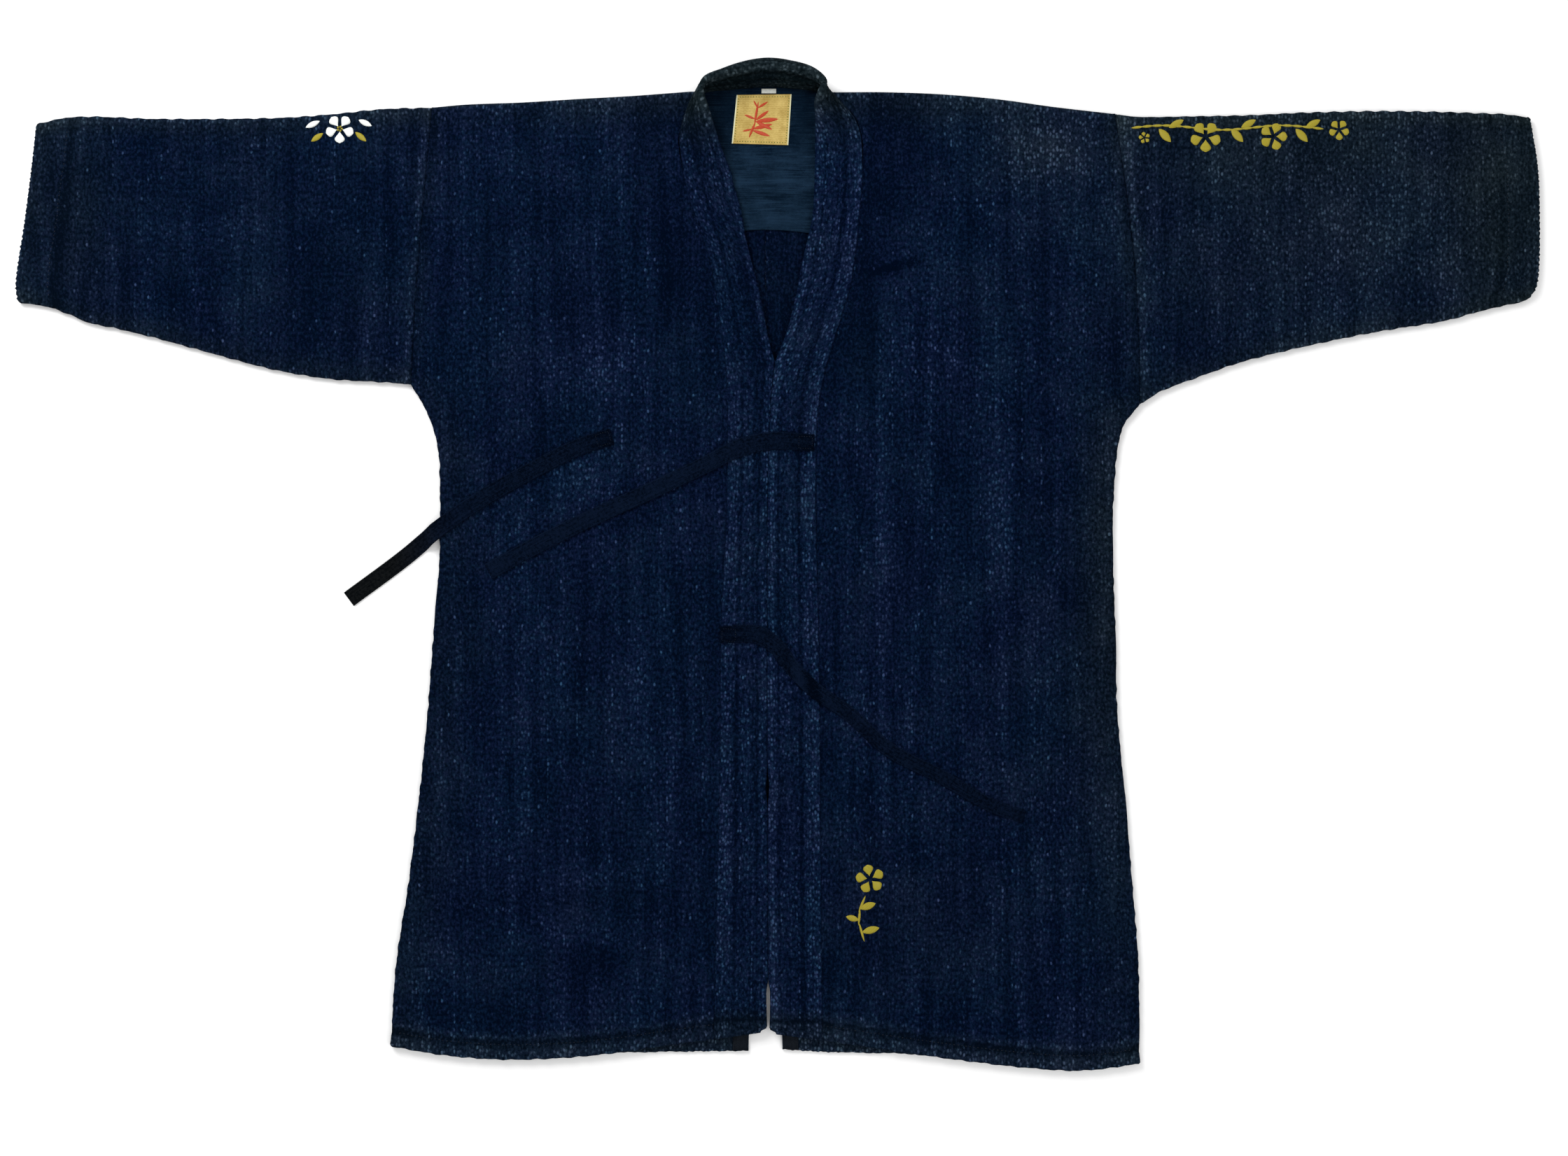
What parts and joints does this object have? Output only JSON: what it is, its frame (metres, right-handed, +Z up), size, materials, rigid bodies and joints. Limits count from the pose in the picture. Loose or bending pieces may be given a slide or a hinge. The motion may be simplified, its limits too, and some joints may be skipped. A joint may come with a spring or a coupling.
{
  "type": "noragi jacket",
  "caption": "Japanese work jacket laid flat: straight body, tapered sleeves, ribbed collar band and flat front ties.",
  "frame": {"origin": "on the surface that the jacket lies on, under the middle of its outline", "axes": "+X to the wearer's left along the sleeves, +Y from the hem towards the collar, +Z up from the surface"},
  "size_m": [1.3716, 0.911, 0.0284],
  "materials": {
    "indigo_weave": "matt rice-grain cotton weave, dark indigo, faintly faded",
    "collar_weave": "doubled cotton with lengthwise stitch rows, indigo, faded on its ridges",
    "lining_cotton": "plain-weave cotton, slate blue, matt",
    "label_satin": "woven gold satin",
    "tag_tape": "white woven tape",
    "facing_tape": "dark grey cotton tape",
    "tie_cotton": "folded cotton strip, near-black navy, matt"
  },
  "bodies": {
    "root": {"body_panel_right": "indigo_weave", "body_panel_left": "indigo_weave", "sleeve_right": "indigo_weave", "sleeve_left": "indigo_weave", "collar_band": "collar_weave", "shoulder_lining": "lining_cotton", "neck_label": "label_satin", "size_tag": "tag_tape", "vent_facing_right": "facing_tape", "vent_facing_left": "facing_tape", "tie_upper_left": "tie_cotton", "tie_lower_right": "tie_cotton", "tie_outer_right": "tie_cotton"}
  },
  "joints": []
}
